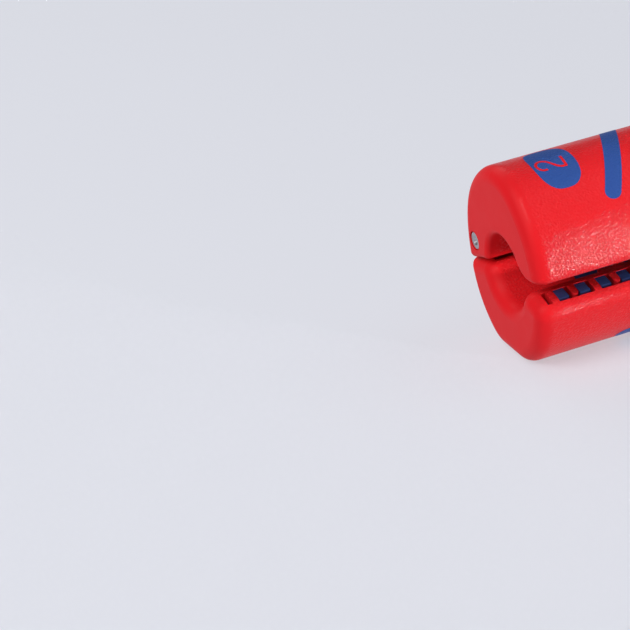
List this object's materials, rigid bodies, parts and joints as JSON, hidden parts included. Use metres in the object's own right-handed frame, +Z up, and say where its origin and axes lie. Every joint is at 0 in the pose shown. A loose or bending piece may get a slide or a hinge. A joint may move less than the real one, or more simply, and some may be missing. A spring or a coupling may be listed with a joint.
{
  "type": "coaxial cable stripper",
  "caption": "Clamshell coaxial cable stripper with a cutting end at each side, a round cable channel, a ribbed length scale along the gap and spring opening.",
  "frame": {"origin": "middle of the tool's footprint, on the surface that the flat bottom rests on", "axes": "+X along the tool to the rear cutting end, +Y towards the hinge side, +Z up"},
  "size_m": [0.1, 0.0185, 0.0219],
  "materials": {
    "body_plastic": "satin, finely grained on the outside",
    "cassette_plastic": "satin",
    "blade_steel": "ground",
    "pin_steel": "turned",
    "screw_steel": "plated",
    "spring_steel": "bright wire"
  },
  "bodies": {
    "lower_half": {"lower_shell": "body_plastic", "lower_cassette_front": "cassette_plastic", "lower_cassette_rear": "cassette_plastic", "lower_inner_blade": "blade_steel", "lower_sheath_blade": "blade_steel", "lower_screw_front": "screw_steel", "lower_screw_rear": "screw_steel", "spring_front": "spring_steel", "spring_rear": "spring_steel"},
    "upper_half": {"upper_shell": "body_plastic", "upper_cassette_front": "cassette_plastic", "upper_cassette_rear": "cassette_plastic", "upper_inner_blade": "blade_steel", "upper_sheath_blade": "blade_steel", "upper_screw_front": "screw_steel", "upper_screw_rear": "screw_steel", "hinge_pin_front": "pin_steel", "hinge_pin_rear": "pin_steel"}
  },
  "joints": [
    {"name": "shell_hinge", "type": "hinge", "parent": "lower_half", "child": "upper_half", "pos_m": [0, 0.00643, 0.01146], "axis": [1, 0, 0], "range_deg": [0, 7.2], "stiffness_Nm_per_rad": 0.1, "springref_deg": -11.46, "deforming": ["spring_front", "spring_rear"]}
  ]
}
